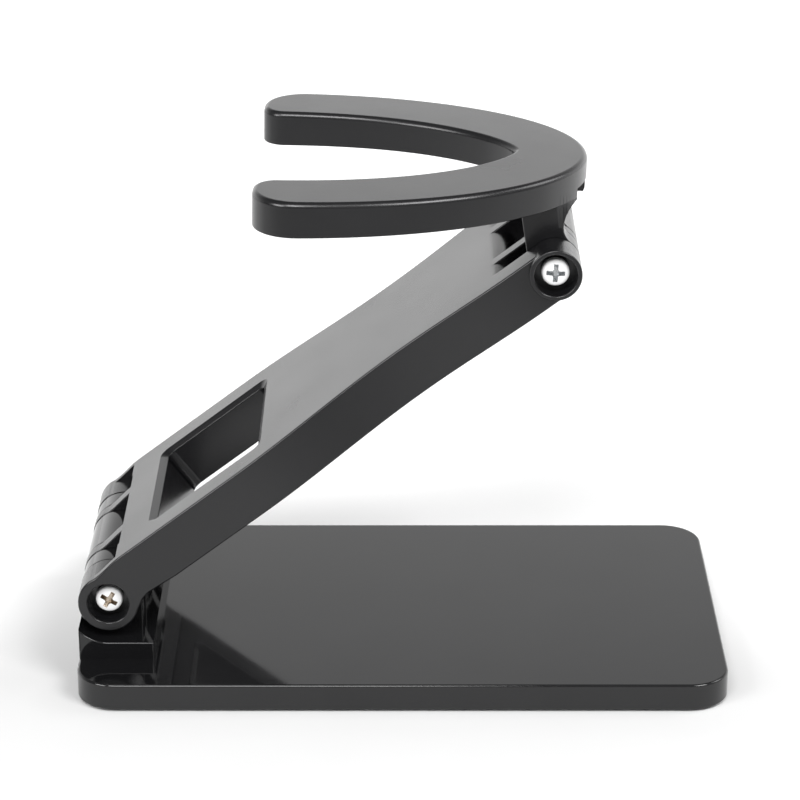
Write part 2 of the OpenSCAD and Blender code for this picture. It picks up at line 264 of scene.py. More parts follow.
def smooth(piece, angle=24):
    """Smooth shading that keeps a flat face flat up to its rounded edges."""
    piece.data.shade_smooth()
    piece.data.set_sharp_from_angle(angle=math.radians(angle))
    modifier = piece.modifiers.new("normals", "WEIGHTED_NORMAL")
    modifier.keep_sharp = True
    modifier.weight = 100
    apply_modifiers(piece)


def loft(rings, columns=()):
    """A closed solid through rings of equal length. columns pairs points across a curved cap."""
    bm = bmesh.new()
    made = [[bm.verts.new(point) for point in ring] for ring in rings]
    for low, high in zip(made, made[1:]):
        for i, vertex in enumerate(low):
            j = (i + 1) % len(low)
            bm.faces.new((vertex, low[j], high[j], high[i]))
    for ring in (made[0], made[-1]):
        for face in cap_faces(len(ring), columns):
            bm.faces.new([ring[i] for i in face])
    return bm


def cap_faces(count, columns):
    """Indices of the faces that close a ring: one face, or one for each pair of columns and each end."""
    if not columns:
        return [list(range(count))]
    (top0, low0), (top1, low1) = columns[0], columns[-1]
    faces = [[i % count for i in range(low0, top0 + count + 1)], list(range(top1, low1 + 1))]
    for (top_a, low_a), (top_b, low_b) in zip(columns, columns[1:]):
        faces.append([top_a, top_b, low_b, low_a])
    return faces


def arc(radius, start, end, steps, centre=(0, 0)):
    """Points of an arc, in degrees, both ends included."""
    angles = [math.radians(start + (end - start) * i / steps) for i in range(steps + 1)]
    return [(centre[0] + radius * math.cos(a), centre[1] + radius * math.sin(a)) for a in angles]


def inset(outline, distance):
    """A closed outline moved inwards, corner by corner."""
    points = [Vector(point) for point in outline]
    area = sum(p.cross(q) for p, q in zip(points, points[1:] + points[:1]))
    inward = 1 if area > 0 else -1
    moved = []
    for i, point in enumerate(points):
        before = (point - points[i - 1]).normalized()
        after = (points[(i + 1) % len(points)] - point).normalized()
        side = Vector((-before.y - after.y, before.x + after.x)).normalized() * inward
        reach = max(0.5, abs(side.dot(Vector((-before.y, before.x)))))
        moved.append(tuple(point + side * distance / reach))
    return moved


def always(value):
    """A function that gives the same value everywhere."""
    return lambda u: value


def rim(edge, steps):
    """Pairs of inset and height for a rounded rim, from the flat face to the wall."""
    if not edge:
        return [(0, 0)]
    angles = [math.radians(90 * i / steps) for i in range(steps + 1)]
    return [(edge * (1 - math.sin(a)), edge * (1 - math.cos(a))) for a in angles]


def rounded_solid(outline, low, high, low_edge, high_edge, place, columns=(), steps=5):
    """The outline (u, v) carried from low(u) to high(u), with its two rims rounded."""
    rings = []
    for back, rise in rim(low_edge, steps):
        rings.append([place(u, v, low(u) + rise) for u, v in inset(outline, back)])
    for back, rise in reversed(rim(high_edge, steps)):
        rings.append([place(u, v, high(u) - rise) for u, v in inset(outline, back)])
    return loft(rings, columns)


def upright(u, v, w):
    """Places an outline's points flat, carried along Z."""
    return u, v, w


def sideways(u, v, w):
    """Places an outline's points on a side, carried along Y."""
    return u, w, v


def side_tool(outline, y0, y1, matrix, edge=0.0):
    """A side outline carried along Y, to cut or join with."""
    bm = rounded_solid(outline, always(y0), always(y1), edge, edge, sideways, steps=4 if edge else 1)
    bmesh.ops.remove_doubles(bm, verts=bm.verts, dist=1e-4)
    return new_piece("tool", bm, matrix)


def both_sides(y0, y1):
    """A stretch of Y and its mirror."""
    return (y0, y1), (-y1, -y0)


def block_tool(x, y, z, matrix):
    """A plain block to cut with, between pairs of x, y and z."""
    return side_tool([(x[0], z[0]), (x[1], z[0]), (x[1], z[1]), (x[0], z[1])], y[0], y[1], matrix)


def turned_tool(profile, matrix, count=64):
    """A solid of revolution about Z through pairs of radius and height."""
    rings = [circle_ring(always(radius), height, count) for radius, height in profile]
    return new_piece("tool", loft(rings), matrix)


def circle_ring(radius_at, height, count=48):
    """A ring about Z, whose radius is a function of the angle."""
    ring = []
    for i in range(count):
        a = 2 * math.pi * i / count
        radius = radius_at(a)
        ring.append((radius * math.cos(a), radius * math.sin(a), height))
    return ring


def rectangle(half_l, half_w, corner, mid=0, steps=6):
    """A rounded rectangle, anticlockwise."""
    points = []
    for turn in range(4):
        x = mid + (half_l - corner if turn in (0, 3) else corner - half_l)
        y = half_w - corner if turn in (0, 1) else corner - half_w
        points += arc(corner, 90 * turn, 90 * turn + 90, steps, (x, y))
    return points


# Materials ----------------------------------------------------------------------------------


def links_of(material):
    tree = material.node_tree
    return tree.nodes, tree.links


def noise(material, scale, detail=3.0, rough=0.55):
    nodes, links = links_of(material)
    where = nodes.new("ShaderNodeTexCoord")
    texture = nodes.new("ShaderNodeTexNoise")
    texture.inputs["Scale"].default_value = scale
    texture.inputs["Detail"].default_value = detail
    texture.inputs["Roughness"].default_value = rough
    links.new(where.outputs["Object"], texture.inputs["Vector"])
    return texture.outputs["Fac"]


def spread(material, source, low, high):
    """source, from 0.3 to 0.7, mapped to low to high."""
    nodes, links = links_of(material)
    ramp = nodes.new("ShaderNodeMapRange")
    ramp.inputs["From Min"].default_value = 0.3
    ramp.inputs["From Max"].default_value = 0.7
    ramp.inputs["To Min"].default_value = low
    ramp.inputs["To Max"].default_value = high
    links.new(source, ramp.inputs["Value"])
    return ramp.outputs["Result"]


def blend_colours(material, source, dark, light):
    nodes, links = links_of(material)
    mix = nodes.new("ShaderNodeMix")
    mix.data_type = "RGBA"
    mix.inputs["A"].default_value = (*dark, 1)
    mix.inputs["B"].default_value = (*light, 1)
    links.new(spread(material, source, 0, 1), mix.inputs["Factor"])
    return mix.outputs["Result"]


def bump(material, source, distance, strength=1.0, under=None):
    nodes, links = links_of(material)
    node = nodes.new("ShaderNodeBump")
    node.inputs["Distance"].default_value = distance
    node.inputs["Strength"].default_value = strength
    links.new(source, node.inputs["Height"])
    if under is not None:
        links.new(under, node.inputs["Normal"])
    return node.outputs["Normal"]


def base_material(name, metallic=0.0, ior=1.5):
    material = bpy.data.materials.new(name)
    material.use_nodes = True
    shader = material.node_tree.nodes["Principled BSDF"]
    shader.inputs["Metallic"].default_value = metallic
    shader.inputs["IOR"].default_value = ior
    return material, shader


def moulded_plastic(name, dark, light, gloss, grain, waviness):
    """Moulded plastic: gloss is its (low, high) roughness, grain and waviness its fine and broad relief."""
    material, shader = base_material(name, ior=1.52)
    links = material.node_tree.links
    fine = noise(material, scale=5200, detail=2.0)
    broad = noise(material, scale=260, detail=2.0)
    cloud = noise(material, scale=60, detail=4.0)
    links.new(blend_colours(material, cloud, dark, light), shader.inputs["Base Color"])
    links.new(spread(material, cloud, *gloss), shader.inputs["Roughness"])
    wavy = bump(material, broad, waviness)
    links.new(bump(material, fine, grain, under=wavy), shader.inputs["Normal"])
    return material


def metal(name, dark, light, gloss, grain):
    material, shader = base_material(name, metallic=1.0)
    links = material.node_tree.links
    fine = noise(material, scale=6500, detail=3.0)
    cloud = noise(material, scale=900, detail=4.0)
    links.new(blend_colours(material, cloud, dark, light), shader.inputs["Base Color"])
    links.new(spread(material, fine, *gloss), shader.inputs["Roughness"])
    links.new(bump(material, fine, grain), shader.inputs["Normal"])
    return material


def rubber(name):
    material, shader = base_material(name)
    links = material.node_tree.links
    fine = noise(material, scale=3800, detail=4.0)
    cloud = noise(material, scale=300, detail=3.0)
    links.new(blend_colours(material, cloud, (0.018, 0.018, 0.018), (0.034, 0.034, 0.033)),
              shader.inputs["Base Color"])
    links.new(spread(material, fine, 0.72, 0.9), shader.inputs["Roughness"])
    links.new(bump(material, fine, 0.00006), shader.inputs["Normal"])
    return material


BODY_OF = {node: body for body, nodes in frame["record"]["behaviour"]["bodies"].items() for node in nodes}


def stand_for(node, piece, material):
    """The piece takes the node's place on its body, and the node is hidden."""
    if not any(piece.data.materials):
        piece.data.materials.clear()
        piece.data.materials.append(material)
        piece.data.polygons.foreach_set("material_index", [0] * len(piece.data.polygons))
    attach(piece, BODY_OF[node])
    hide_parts(node)


# Hinge bores --------------------------------------------------------------------------------


def axis_matrix(joint, front, turn=0):
    """Onto a hinge axis, with +Z out towards the screw's head."""
    out = Matrix.Rotation(math.radians(90 if front else -90), 4, "X")
    return Matrix.Translation(AXES[joint]) @ out @ Matrix.Rotation(math.radians(turn), 4, "Z")


def bore_inner_fingers(piece, joint):
    """Clearance through the ears and insert pockets in the centre knuckle."""
    pocket = CENTRE_EDGE - HALF_GAP - INSERT_LEN
    for front in (True, False):
        matrix = axis_matrix(joint, front)
        cut(piece, turned_tool([(BORE_R, RIB_EDGE), (BORE_R, EAR_EDGE)], matrix))
        cut(piece, turned_tool([(INSERT_R, pocket), (INSERT_R, CENTRE_EDGE)], matrix))


def bore_outer_fingers(piece, joint, face):
    """Clearance bore, and a counterbore whose rim is rounded."""
    floor = EAR_EDGE + HALF_GAP + WEB_T
    flare = arc(SMALL_EDGE, 180, 90, 4, (COUNTERBORE_R + SMALL_EDGE, face - SMALL_EDGE))
    mouth = flare[-1][0]
    for front in (True, False):
        matrix = axis_matrix(joint, front)
        cut(piece, turned_tool([(BORE_R, CENTRE_EDGE), (BORE_R, floor + PAST)], matrix))
        cut(piece, turned_tool([(COUNTERBORE_R, floor)] + flare + [(mouth, face + 2 * PAST)], matrix))


# Base ---------------------------------------------------------------------------------------


def block_side():
    """Hinge block with a saddle under the knuckles, seen from the side."""
    axis = AXES["arm_fold"]
    saddle = axis.z - BLOCK_TOP
    start = math.degrees(math.acos((BLOCK_X0 - axis.x) / saddle))
    curve = arc(saddle, 270, 360 - start, 16, (axis.x, axis.z))
    right = BLOCK_X0 + BLOCK_W
    return [(BLOCK_X0, BASE_TOP - BLOCK_SUNK), (right, BASE_TOP - BLOCK_SUNK), (right, BLOCK_TOP)] + curve


def post_side():
    """A finger of the base's hinge, seen from the side."""
    axis = AXES["arm_fold"]
    turn = math.degrees(math.acos(-POST_LEFT / POST_R))
    head = arc(POST_R, 0, 360 - turn, 40, (axis.x, axis.z))
    foot = BASE_TOP - OVERLAP
    return [(axis.x - POST_LEFT, foot), (axis.x + POST_R, foot)] + head


def base_plan(margin, steps):
    """Plan of the base plate, margin inside its edge."""
    return rectangle(BASE_W / 2 - margin, BASE_D / 2 - margin, BASE_CORNER - margin, steps=steps)


def make_base(material):
    plate = rounded_solid(base_plan(0, 16), always(BASE_LOW), always(BASE_TOP),
                          SMALL_EDGE, BASE_EDGE, upright)
    piece = new_piece("base_moulding", plate)
    join(piece, side_tool(block_side(), -BLOCK_D / 2, BLOCK_D / 2, LEVEL, SMALL_EDGE))
    join(piece, side_tool(post_side(), HALF_GAP - CENTRE_EDGE, CENTRE_EDGE - HALF_GAP, LEVEL, SMALL_EDGE))
    for y0, y1 in both_sides(RIB_EDGE + HALF_GAP, EAR_EDGE - HALF_GAP):
        join(piece, side_tool(post_side(), y0, y1, LEVEL, SMALL_EDGE))
    bore_inner_fingers(piece, "arm_fold")
    recess = rounded_solid(base_plan(WALL, 12), always(BASE_LOW - PAST), always(BASE_LOW + COVER_T),
                           0, 0, upright, steps=1)
    cut(piece, new_piece("tool", recess))
    smooth(piece)
    stand_for("base_shell", piece, material)


def foot_places():
    return [(x * FOOT_X, y * FOOT_Y) for x in (-1, 1) for y in (-1, 1)]


def make_base_cover(material):
    plate = rounded_solid(base_plan(WALL + FIT, 12), always(BASE_LOW), always(BASE_LOW + COVER_T),
                          SMALL_EDGE, COVER_EDGE, upright)
    piece = new_piece("base_cover_moulding", plate)
    for x, y in foot_places():
        cut(piece, turned_tool([(FOOT_R, -PAST), (FOOT_R, FOOT_T)], Matrix.Translation((x, y, 0))))
    smooth(piece)
    stand_for("base_bottom_cover", piece, material)


def make_feet(material):
    """Rubber pads with a rounded rim and two shallow grooves underneath."""
    side = FOOT_R - FOOT_PLAY
    profile = list(FOOT_FACE) + arc(FOOT_EDGE, -90, 0, 5, (side - FOOT_EDGE, FOOT_EDGE)) + [(side, FOOT_T)]
    for x, y in foot_places():
        node = "foot_" + ("front" if y < 0 else "rear") + ("_left" if x < 0 else "_right")
        piece = turned_tool(profile, Matrix.Translation((x, y, 0)))
        piece.name = node + "_pad"
        smooth(piece, 60)
        stand_for(node, piece, material)


# Arm ----------------------------------------------------------------------------------------


def ease(t):
    """0 to 1 as t goes from 0 to 1, level at both ends."""
    return (1 - math.cos(math.pi * min(1, max(0, t)))) / 2


def arm_half(s):
    """Half of the arm's width at s."""
    start, middle, end = WAIST
    if s < middle:
        return HALF_LOW - (HALF_LOW - HALF_WAIST) * ease((s - start) / (middle - start))
    return HALF_WAIST + (HALF_HIGH - HALF_WAIST) * ease((s - middle) / (end - middle))


def beam_stations():
    """Places along the arm where its sides get a point, closer together along the waist."""
    waist = [WAIST[0] + (WAIST[2] - WAIST[0]) * i / 40 for i in range(41)]
    return [BEAM_START, *BEAM_STRAIGHT] + waist


def arm_side():
    """Side outline of the arm, and the pairs of points above and below each station."""
    s0, s1 = S_CURVE
    knuckle = arc(KNUCKLE_R, -KNUCKLE_TURN, -270, 48)
    rise = ARM_TOP - KNUCKLE_R + CURVE_DROP
    curve = [(s0 + (s1 - s0) * i / 10, ARM_TOP - rise * (1 - ease(i / 10))) for i in range(11)]
    stations = beam_stations()
    turn = math.degrees(math.asin((ARM_TOP - UPPER_N) / BARREL_R))
    barrel = arc(BARREL_R, 180 - turn, turn - 180, 40, (ARM_LEN, UPPER_N))
    top = [(s, ARM_TOP) for s in stations]
    low = [(s, ARM_LOW) for s in reversed(stations)]
    outline = knuckle + curve + top + barrel + low + list(reversed(HOLLOW))
    first = len(knuckle) + len(curve)
    last = first + len(top) + len(barrel) + len(low) - 1
    return outline, [(first + i, last - i) for i in range(len(top))]


def upper_slot():
    """Slot at the arm's upper end, with the top face rolling down into it."""
    start = ARM_LEN - ROOT_HIGH
    roll = arc(ROOT_ROLL, 0, 90, 12, (start, ARM_TOP - ROOT_ROLL))
    far = ARM_LEN + END_PAST
    above = [(far, -END_PAST), (far, END_PAST), (start, END_PAST)]
    return above + roll[::-1] + [(start + ROOT_ROLL, -END_PAST)]


def open_fingers(piece):
    """Clears both ends of the arm between its side walls, then puts back fingers with rounded edges."""
    outline = arm_side()[0]
    lower_end = [point for point in outline if point[0] < ROOT_LOW + FINGER_ROOT]
    upper_end = [point for point in outline if point[0] > ARM_LEN - ROOT_HIGH - FINGER_ROOT]
    clear = EAR_EDGE + HALF_GAP + EDGE_STRIP
    cut(piece, block_tool((-END_PAST, ROOT_LOW), (-clear, clear), (-END_PAST, END_PAST), ARM_FRAME))
    cut(piece, side_tool(upper_slot(), -clear, clear, ARM_FRAME))
    fingers = both_sides(CENTRE_EDGE + HALF_GAP, RIB_EDGE - HALF_GAP)
    fingers += both_sides(EAR_EDGE + HALF_GAP, clear + EDGE_STRIP)
    for y0, y1 in fingers:
        for end in (lower_end, upper_end):
            join(piece, side_tool(end, y0, y1, ARM_FRAME, SMALL_EDGE))


def lower_notch():
    """Wedge between an outer knuckle and the end of the arm's top face."""
    turn = math.degrees(math.acos(NOTCH_START / KNUCKLE_R))
    curve = arc(KNUCKLE_R - NOTCH_BITE, turn, NOTCH_TURN, 20)
    return curve + [(NOTCH_END, NOTCH_LOW), (NOTCH_END, NOTCH_HIGH), (NOTCH_START, NOTCH_HIGH)]


def window_tool():
    """The window, with a bevel round its top and a small radius round its bottom."""
    mid = sum(WINDOW) / 2
    half = (WINDOW[1] - WINDOW[0]) / 2
    levels = [(ARM_LOW + z, share) for z, share in WINDOW_LOW]
    levels += [(ARM_TOP - BEVEL_DEEP + z, share) for z, share in WINDOW_STEP]
    levels += [(ARM_TOP + z, share) for z, share in WINDOW_TOP]
    rings = []
    for height, share in levels:
        size = (half + BEVEL_S * share, WINDOW_HALF_W + BEVEL_Y * share)
        outline = rectangle(*size, WINDOW_CORNER + share / 2, mid)
        rings.append([(x, y, height) for x, y in outline])
    return new_piece("tool", loft(rings), ARM_FRAME)


def arm_cover_outline(margin):
    """Plan of the closing cover under the arm, margin inside the arm's sides."""
    start = ARM_COVER_START + FIT - margin + COVER_LIP
    last = ARM_LEN - ROOT_HIGH - ARM_COVER_BACK
    stations = [s for s in beam_stations() if BEAM_START < s < last - PAST]
    rows = [start] + stations + [last + margin - COVER_LIP]
    right = [(s, -arm_half(s) + margin) for s in rows]
    return right + [(s, -y) for s, y in reversed(right)]


def arm_cover_solid(margin, window_margin, edge, top):
    """The cover under the arm or, with no edge, the cutter of its seat, both with the window through them."""
    low = ARM_LOW if edge else ARM_LOW - PAST
    plate = rounded_solid(arm_cover_outline(margin), always(low), always(top), edge, 0, upright, steps=3)
    piece = new_piece("tool", plate, ARM_FRAME)
    half = (WINDOW[1] - WINDOW[0]) / 2 + window_margin
    plan = rectangle(half, WINDOW_HALF_W + window_margin, WINDOW_CORNER + window_margin, sum(WINDOW) / 2)
    hole = rounded_solid(plan, always(ARM_LOW - 3 * PAST), always(top + PAST), 0, 0, upright, steps=1)
    cut(piece, new_piece("tool", hole, ARM_FRAME))
    return piece


def make_arm(material):
    outline, columns = arm_side()
    body = rounded_solid(outline, lambda s: -arm_half(s), arm_half, ARM_EDGE, ARM_EDGE, sideways, columns)
    piece = new_piece("arm_moulding", body, ARM_FRAME)
    barrel = arc(BARREL_R, 0, 360, 96, (ARM_LEN, UPPER_N))[:-1]
    for y0, y1 in both_sides(EAR_EDGE + HALF_GAP, BARREL_EDGE):
        join(piece, side_tool(barrel, y0, y1, ARM_FRAME, SMALL_EDGE))
    open_fingers(piece)
    for y0, y1 in both_sides(EAR_EDGE, HALF_LOW - SIDE_SKIN):
        cut(piece, side_tool(lower_notch(), y0, y1, ARM_FRAME))
    bore_outer_fingers(piece, "arm_fold", OUTER_EDGE)
    bore_outer_fingers(piece, "holder_tilt", BARREL_EDGE)
    cut(piece, window_tool())
    groove = (WINDOW[0] - GROOVE_DEEP, WINDOW[0] + OVERLAP)
    cut(piece, block_tool(groove, GROOVE_Y, (ARM_LOW - PAST, ARM_TOP - GROOVE_ROOF), ARM_FRAME))
    cut(piece, arm_cover_solid(COVER_LIP - FIT, COVER_LIP, 0, ARM_LOW + COVER_T))
    smooth(piece)
    stand_for("arm_shell", piece, material)


def make_arm_cover(material):
    piece = arm_cover_solid(COVER_LIP, COVER_LIP + FIT, SMALL_EDGE, ARM_LOW + COVER_T)
    piece.name = "arm_cover_moulding"
    smooth(piece)
    stand_for("arm_underside_cover", piece, material)


# Holder -------------------------------------------------------------------------------------

IN_LEN = U_LENGTH - BACK_W
IN_HALF = U_HALF - LEG_W
TIP_X = RIM_X - U_LENGTH


def u_out(x):
    """Half width of the U's outer outline, x from its free ends."""
    return U_HALF * math.sqrt(max(0, 1 - (max(0, x - OUT_MID) / (U_LENGTH - OUT_MID)) ** 2))


def u_in(x):
    """Half width of the gap in the U."""
    return IN_HALF * max(0, 1 - (x / IN_LEN) ** IN_BULGE) ** IN_NOSE


def quarter(start, end, steps):
    """Places from start to end, closing up towards end."""
    return [start + (end - start) * math.sin(math.pi / 2 * i / steps) for i in range(steps + 1)]


def u_plan(steps=56, tip_steps=14):
    """The U seen from above: closed end, one leg round its free end, the gap, and the other leg."""
    half = [(x, u_out(x)) for x in reversed(quarter(TIP_OUT, U_LENGTH, steps))]
    half += arc(TIP_OUT, 90, 180, tip_steps, (TIP_OUT, u_out(TIP_OUT) - TIP_OUT))[1:]
    half += arc(TIP_IN, 180, 270, tip_steps, (TIP_IN, u_in(TIP_IN) + TIP_IN))
    half += [(x, u_in(x)) for x in quarter(TIP_IN, IN_LEN, steps)[1:]]
    other = [(x, -y) for x, y in reversed(half[1:-1])]
    return [(x + TIP_X, y) for x, y in half + other]


def underside(x):
    """Height of the plate's tapered underside."""
    return PLATE_RISE + x * math.tan(PLATE_TAPER)


def neck_side():
    """Side outline of the neck: barrel, straight left face, and a cove on the right."""
    reach = BARREL_R - WAIST_X
    cove_r = (COVE_Z ** 2 + WAIST_X ** 2 - BARREL_R ** 2) / (2 * reach)
    cove = (WAIST_X + cove_r, COVE_Z)
    top_turn = math.degrees(math.acos((BACK_X - cove[0]) / cove_r))
    meet = math.degrees(math.atan2(cove[1], cove[0]))
    outline = [(-NECK_LEFT, NECK_SHOULDER), (-NECK_LEFT, NECK_TOP), (BACK_X, NECK_TOP)]
    outline += arc(cove_r, top_turn, 180 + meet, 20, cove)
    return outline + arc(BARREL_R, meet, -180, 40)[1:]


def neck_space():
    """Space that the neck keeps to, so that its top follows the rim of the plate."""
    places = list(NECK_LEFT_ROWS) + quarter(NECK_BEND, RIM_X, 20)[:-1]
    square = [(min(x, NECK_RIGHT), EAR_EDGE) for x in places]
    follow = [(x, min(EAR_EDGE, u_out(x - TIP_X))) for x in places]
    low, high = [side + [(x, -y) for x, y in reversed(side)] for side in (square, follow)]
    levels = [(NECK_BOTTOM, low), (NECK_SQUARE, low), (PLATE_RISE, high), (NECK_TOP + PAST, high)]
    return new_piece("tool", loft([[(x, y, z) for x, y in ring] for z, ring in levels]), HOLDER_FRAME)


def leg_cover_tool(margin, end, low_gap, edge, top):
    """Both legs' closing covers, margin inside the U and ending at end, as one tool."""
    bm = rounded_solid(inset(u_plan(), margin), lambda x: underside(x) - low_gap,
                       lambda x: underside(x) + top, edge, 0, upright, steps=3)
    piece = new_piece("tool", bm, HOLDER_FRAME)
    cut(piece, block_tool((end, PAST_X), (-PAST_Y, PAST_Y), (0, PAST_Z), HOLDER_FRAME))
    return piece


def make_holder(material):
    plate = rounded_solid(u_plan(), underside, always(PLATE_TOP), SMALL_EDGE, PLATE_EDGE, upright, steps=8)
    piece = new_piece("holder_moulding", plate, HOLDER_FRAME)
    cut(piece, block_tool((BACK_X, PAST_X), (-PAST_Y, PAST_Y), (0, PLATE_TOP - RIM_T), HOLDER_FRAME))
    neck = side_tool(neck_side(), HALF_GAP - EAR_EDGE, EAR_EDGE - HALF_GAP, HOLDER_FRAME, SMALL_EDGE)
    combine(neck, neck_space(), "INTERSECT")
    join(piece, neck)
    join(piece, side_tool(LUG, -LUG_HALF, LUG_HALF, HOLDER_FRAME, LUG_EDGE))
    room = BARREL_R + RIB_PLAY
    slot = arc(room, -90, 90, 40) + [(-END_PAST, room), (-END_PAST, -room)]
    for y0, y1 in both_sides(CENTRE_EDGE - HALF_GAP, RIB_EDGE + HALF_GAP):
        cut(piece, side_tool(slot, y0, y1, HOLDER_FRAME))
    bore_inner_fingers(piece, "holder_tilt")
    cut(piece, leg_cover_tool(COVER_LIP - FIT, COVER_END + FIT, PAST, 0, HOLDER_COVER_T))
    smooth(piece)
    stand_for("holder_shell", piece, material)


def make_holder_covers(material):
    for node, other_side in (("holder_cover_front", (0, PAST_Y)), ("holder_cover_rear", (-PAST_Y, 0))):
        piece = leg_cover_tool(COVER_LIP, COVER_END, 0, SMALL_EDGE, HOLDER_COVER_T)
        piece.name = node + "_moulding"
        cut(piece, block_tool((-2 * PAST_X, PAST_X), other_side, (0, PAST_Z), HOLDER_FRAME))
        smooth(piece)
        stand_for(node, piece, material)


# Hinge hardware -----------------------------------------------------------------------------


def axis_span(node):
    """Whether a node is in front of the middle, and its nearest and farthest |Y|."""
    low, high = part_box(node)
    near, far = sorted((abs(low.y) * 1000, abs(high.y) * 1000))
    return low.y + high.y < 0, near, far


def thread_radius(height):
    """Radius of the thread at height, as a function of the angle."""
    def radius_at(angle):
        turn = (height / THREAD_PITCH - angle / (2 * math.pi)) % 1
        return SCREW_R - THREAD_DEPTH * abs(2 * turn - 1)
    return radius_at


def screw_solid(tip, seat):
    """A threaded shank from tip to seat, and a crowned pan head on it."""
    rings = []
    rows = round(THREAD_LENGTH / THREAD_PITCH * 6)
    for i in range(rows + 1):
        height = tip + THREAD_LENGTH * i / rows
        rings.append(circle_ring(thread_radius(height), height))
    face = seat + HEAD_H
    shank = [(SHANK_R, tip + THREAD_LENGTH + SHANK_RISE), (SHANK_R, seat), (HEAD_R - HEAD_UNDER, seat),
             (HEAD_R, seat + HEAD_UNDER)]
    edge = arc(HEAD_ROUND, 0, HEAD_TURN, HEAD_STEPS, (HEAD_R - HEAD_ROUND, face - HEAD_CROWN - HEAD_ROUND))
    flat, top = edge[-1]
    shares = [1 - i / HEAD_STEPS for i in range(1, HEAD_STEPS)]
    crown = [(flat * share, top + (face - top) * (1 - share ** 2)) for share in shares]
    for radius, height in shank + edge + crown:
        rings.append(circle_ring(always(radius), height))
    return loft(rings)


def cross_ring(half_l, half_w, height):
    """A cross with cut inner corners, at height."""
    corner = half_w * 1.5
    arm = [(half_l, -half_w), (half_l, half_w), (corner, half_w), (half_w, corner)]
    ring = []
    for c, s in ((1, 0), (0, 1), (-1, 0), (0, -1)):
        ring += [(c * x - s * y, s * x + c * y, height) for x, y in arm]
    return ring


def recess_solid(face):
    """The tapered cross that is cut into a head."""
    rings = [cross_ring(RECESS_L / 4, RECESS_W / 3, face - RECESS_DEEP),
             cross_ring(RECESS_L / 2, RECESS_W / 2, face - 0.05),
             cross_ring(RECESS_L / 2 + 0.05, RECESS_W / 2 + 0.02, face + 0.5)]
    return loft(rings)


def make_screw(node, joint, turn, metal_material, recess_shade_material):
    """A screw of one metal, with its cross recess in a darker metal that is painted shade."""
    front, tip, far = axis_span(node)
    seat = far - HEAD_H
    matrix = axis_matrix(joint, front, turn)
    piece = new_piece(node + "_detail", screw_solid(tip, seat), matrix)
    cut(piece, new_piece("tool", recess_solid(seat + HEAD_H), matrix))
    smooth(piece, 30)
    piece.data.materials.append(metal_material)
    piece.data.materials.append(recess_shade_material)
    to_local = (TO_METRES @ matrix).inverted()
    # Faces on the walls and floor of the cross recess take the second, darker metal: painted shade.
    for face in piece.data.polygons:
        place = to_local @ face.center
        inside = math.hypot(place.x, place.y) < RECESS_L / 2 + 0.1
        steep = abs((matrix.inverted().to_3x3() @ face.normal).z) < 0.8
        deep = place.z < seat + HEAD_H - RECESS_DEEP + 0.1
        if place.z > seat + 0.1 and inside and (steep or deep):
            face.material_index = 1
    stand_for(node, piece, metal_material)


def make_washer(node, joint, material):
    """Split spring washer: a square wire, cut through and sprung slightly apart."""
    front, near, far = axis_span(node)
    low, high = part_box(node)
    outer = (high.x - low.x) * 500
    inner = outer - WASHER_EDGE
    matrix = axis_matrix(joint, front)
    wire = [(inner, near), (outer, near + WASHER_EDGE), (outer, far - WASHER_EDGE), (inner, far)]
    piece = turned_tool(wire, matrix)
    cut(piece, turned_tool([(BORE_R, near - PAST), (BORE_R, far + PAST)], matrix))
    slit = rounded_solid(WASHER_SLIT, always(near - PAST), always(far + PAST), 0, 0, upright, steps=1)
    cut(piece, new_piece("tool", slit, matrix))
    piece.name = node + "_ring"
    smooth(piece)
    stand_for(node, piece, material)


def make_insert(node, joint, material):
    """Brass sleeve with knurls round it and a groove at its middle."""
    front, near, far = axis_span(node)
    matrix = axis_matrix(joint, front)
    middle = (near + far) / 2
    groove, slope = INSERT_GROOVE
    plain = always(INSERT_R - KNURL_DEEP)

    def ridged(angle):
        return INSERT_R - KNURL_DEEP * abs(2 * (angle * KNURLS / (2 * math.pi) % 1) - 1)

    levels = [(near, plain), (near + KNURL_END, ridged), (middle - slope, ridged), (middle - groove, plain),
              (middle + groove, plain), (middle + slope, ridged), (far - KNURL_END, ridged), (far, plain)]
    rings = [circle_ring(rule, height, 4 * KNURLS) for height, rule in levels]
    piece = new_piece(node + "_sleeve", loft(rings), matrix)
    cut(piece, turned_tool([(SCREW_R, near - PAST), (SCREW_R, far + PAST)], matrix))
    smooth(piece, 25)
    stand_for(node, piece, material)


def make_hardware():
    nickel = metal("nickel_steel", (0.4, 0.34, 0.28), (0.54, 0.47, 0.39), (0.2, 0.32), 0.000002)
    zinc = metal("zinc_steel", (0.46, 0.48, 0.49), (0.62, 0.63, 0.64), (0.22, 0.36), 0.000002)
    # The two dark recess metals are painted shade in the screws' cross recesses, not the screws' own metal.
    brown_recess_shade = metal("recess_painted_shade_brown", (0.018, 0.011, 0.008), (0.045, 0.028, 0.02), (0.5, 0.7), 0.000004)
    grey_recess_shade = metal("recess_painted_shade_grey", (0.07, 0.07, 0.065), (0.15, 0.15, 0.14), (0.4, 0.6), 0.000004)
    spring = metal("spring_steel", (0.28, 0.28, 0.29), (0.42, 0.42, 0.43), (0.3, 0.45), 0.000002)
    brass = metal("turned_brass", (0.6, 0.42, 0.16), (0.75, 0.55, 0.25), (0.22, 0.35), 0.000002)
    make_screw("lower_screw_front", "arm_fold", -30, nickel, brown_recess_shade)
    make_screw("lower_screw_rear", "arm_fold", 12, nickel, brown_recess_shade)
    make_screw("upper_screw_front", "holder_tilt", -3, zinc, grey_recess_shade)
    make_screw("upper_screw_rear", "holder_tilt", 55, zinc, grey_recess_shade)
    for side in ("front", "rear"):
        make_washer("lower_spring_washer_" + side, "arm_fold", spring)
        make_washer("upper_spring_washer_" + side, "holder_tilt", spring)
        make_insert("lower_thread_insert_" + side, "arm_fold", brass)
        make_insert("upper_thread_insert_" + side, "holder_tilt", brass)
